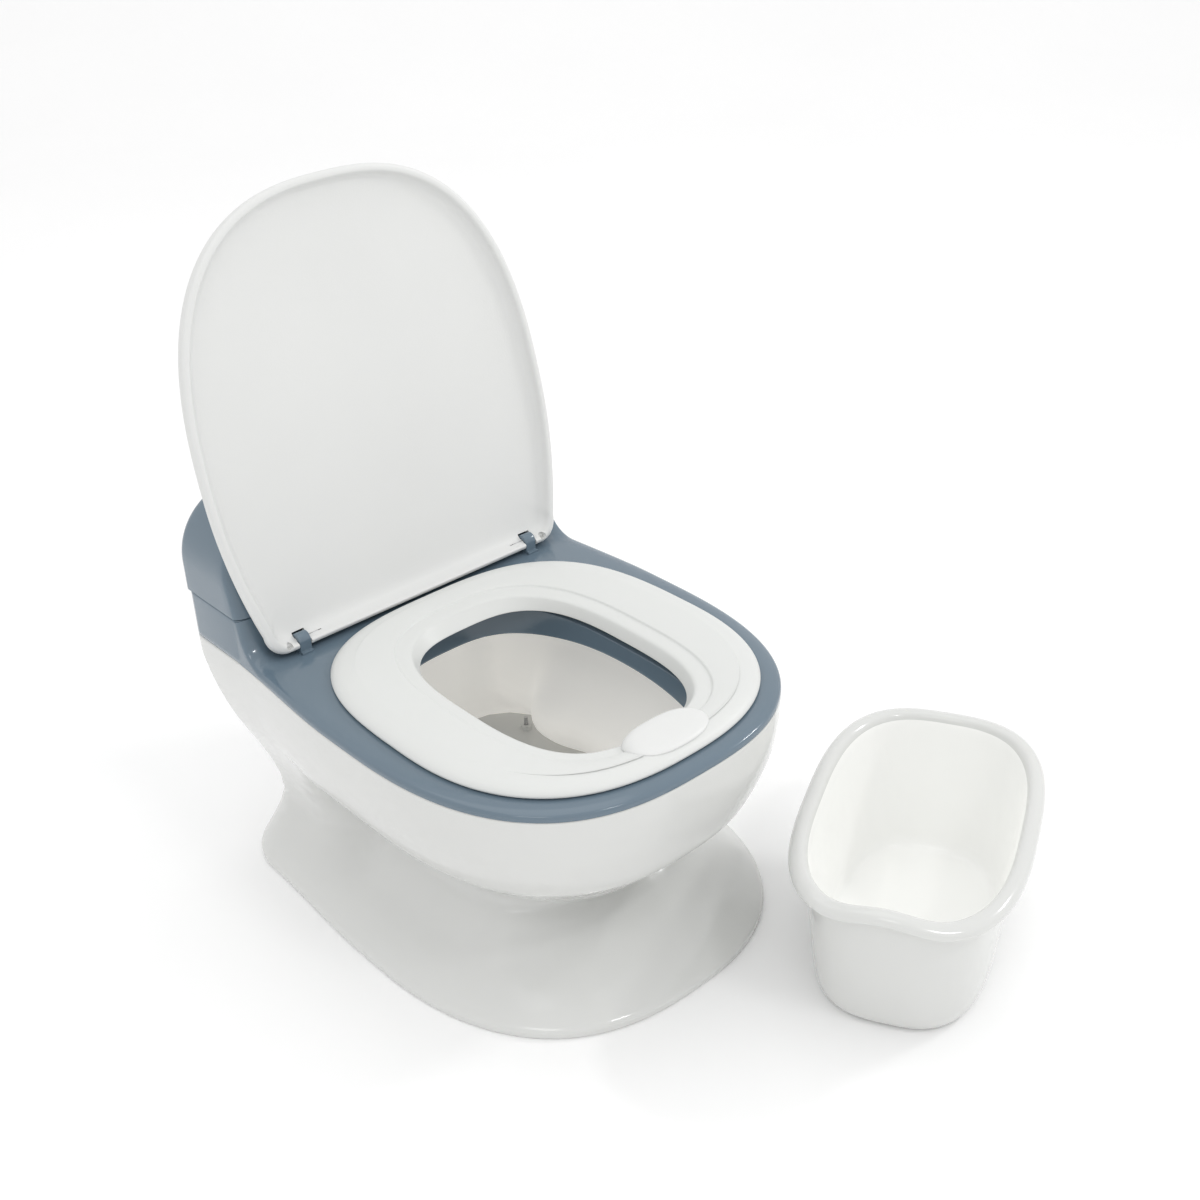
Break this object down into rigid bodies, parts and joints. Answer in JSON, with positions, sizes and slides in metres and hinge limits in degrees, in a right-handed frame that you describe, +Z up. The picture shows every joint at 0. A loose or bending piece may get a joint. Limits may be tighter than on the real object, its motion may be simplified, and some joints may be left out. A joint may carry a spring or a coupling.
{
  "type": "potty training chair",
  "caption": "Toilet-shaped potty training chair with an opening lid, lift-off seat ring and splash guard, removable pot, and a tank with a press button.",
  "frame": {"origin": "on the floor at the middle of the chair's width, under the front of the rear half of the bowl, on the underside of the base plate", "axes": "+X is right as seen from the front, -Y is the front of the seat, +Y is the tank, +Z is up"},
  "size_m": [0.4091, 0.5298, 0.4838],
  "materials": {
    "white_gloss": "glossy white moulded polypropylene",
    "white_satin": "satin white moulded polypropylene",
    "white_soft": "soft satin white moulded plastic",
    "grey_gloss": "glossy slate blue-grey moulded plastic",
    "rubber": "soft translucent white rubber",
    "steel": "zinc plated",
    "pale_plastic": "matt pale grey plastic",
    "battery_wrap": "plain green printed film",
    "board_green": "green solder mask",
    "speaker_black": "black paper cone and basket"
  },
  "bodies": {
    "chair": {"body_shell": "white_gloss", "base_plate": "white_gloss", "base_screws": "steel", "grip_pads": "rubber", "deck": "grey_gloss", "hinge_post_left": "grey_gloss", "hinge_post_right": "grey_gloss", "hinge_pin_left": "steel", "hinge_pin_right": "steel"},
    "lid": {"lid": "white_satin"},
    "seat": {"seat_ring": "white_satin", "seat_bumpers": "rubber"},
    "guard": {"splash_guard": "white_soft"},
    "cover": {"tank_cover": "grey_gloss", "button_spring": "steel", "sound_box": "pale_plastic", "battery_door": "pale_plastic", "batteries": "battery_wrap", "circuit_board": "board_green", "speaker": "speaker_black"},
    "button": {"flush_button": "white_satin"},
    "pot": {"pot": "white_gloss"}
  },
  "joints": [
    {"name": "lid_hinge", "type": "hinge", "parent": "chair", "child": "lid", "pos_m": [0, 0.088, 0.196], "axis": [1, 0, 0], "range_deg": [0, 103.5]},
    {"name": "seat_lift", "type": "slide", "parent": "chair", "child": "seat", "axis": [0, 0, 1], "range_m": [0, 0.06]},
    {"name": "guard_lift", "type": "slide", "parent": "seat", "child": "guard", "axis": [0, 0, 1], "range_m": [0, 0.03]},
    {"name": "cover_lift", "type": "slide", "parent": "chair", "child": "cover", "axis": [0, 0.2334, 0.9724], "range_m": [0, 0.06]},
    {"name": "button_press", "type": "slide", "parent": "cover", "child": "button", "axis": [0, 0, 1], "range_m": [-0.003, 0], "stiffness_N_per_m": 400, "springref_m": 0.0005, "deforming": ["button_spring"]},
    {"name": "pot_lift", "type": "slide", "parent": "chair", "child": "pot", "axis": [0, 0, 1], "range_m": [0, 0.28]}
  ]
}
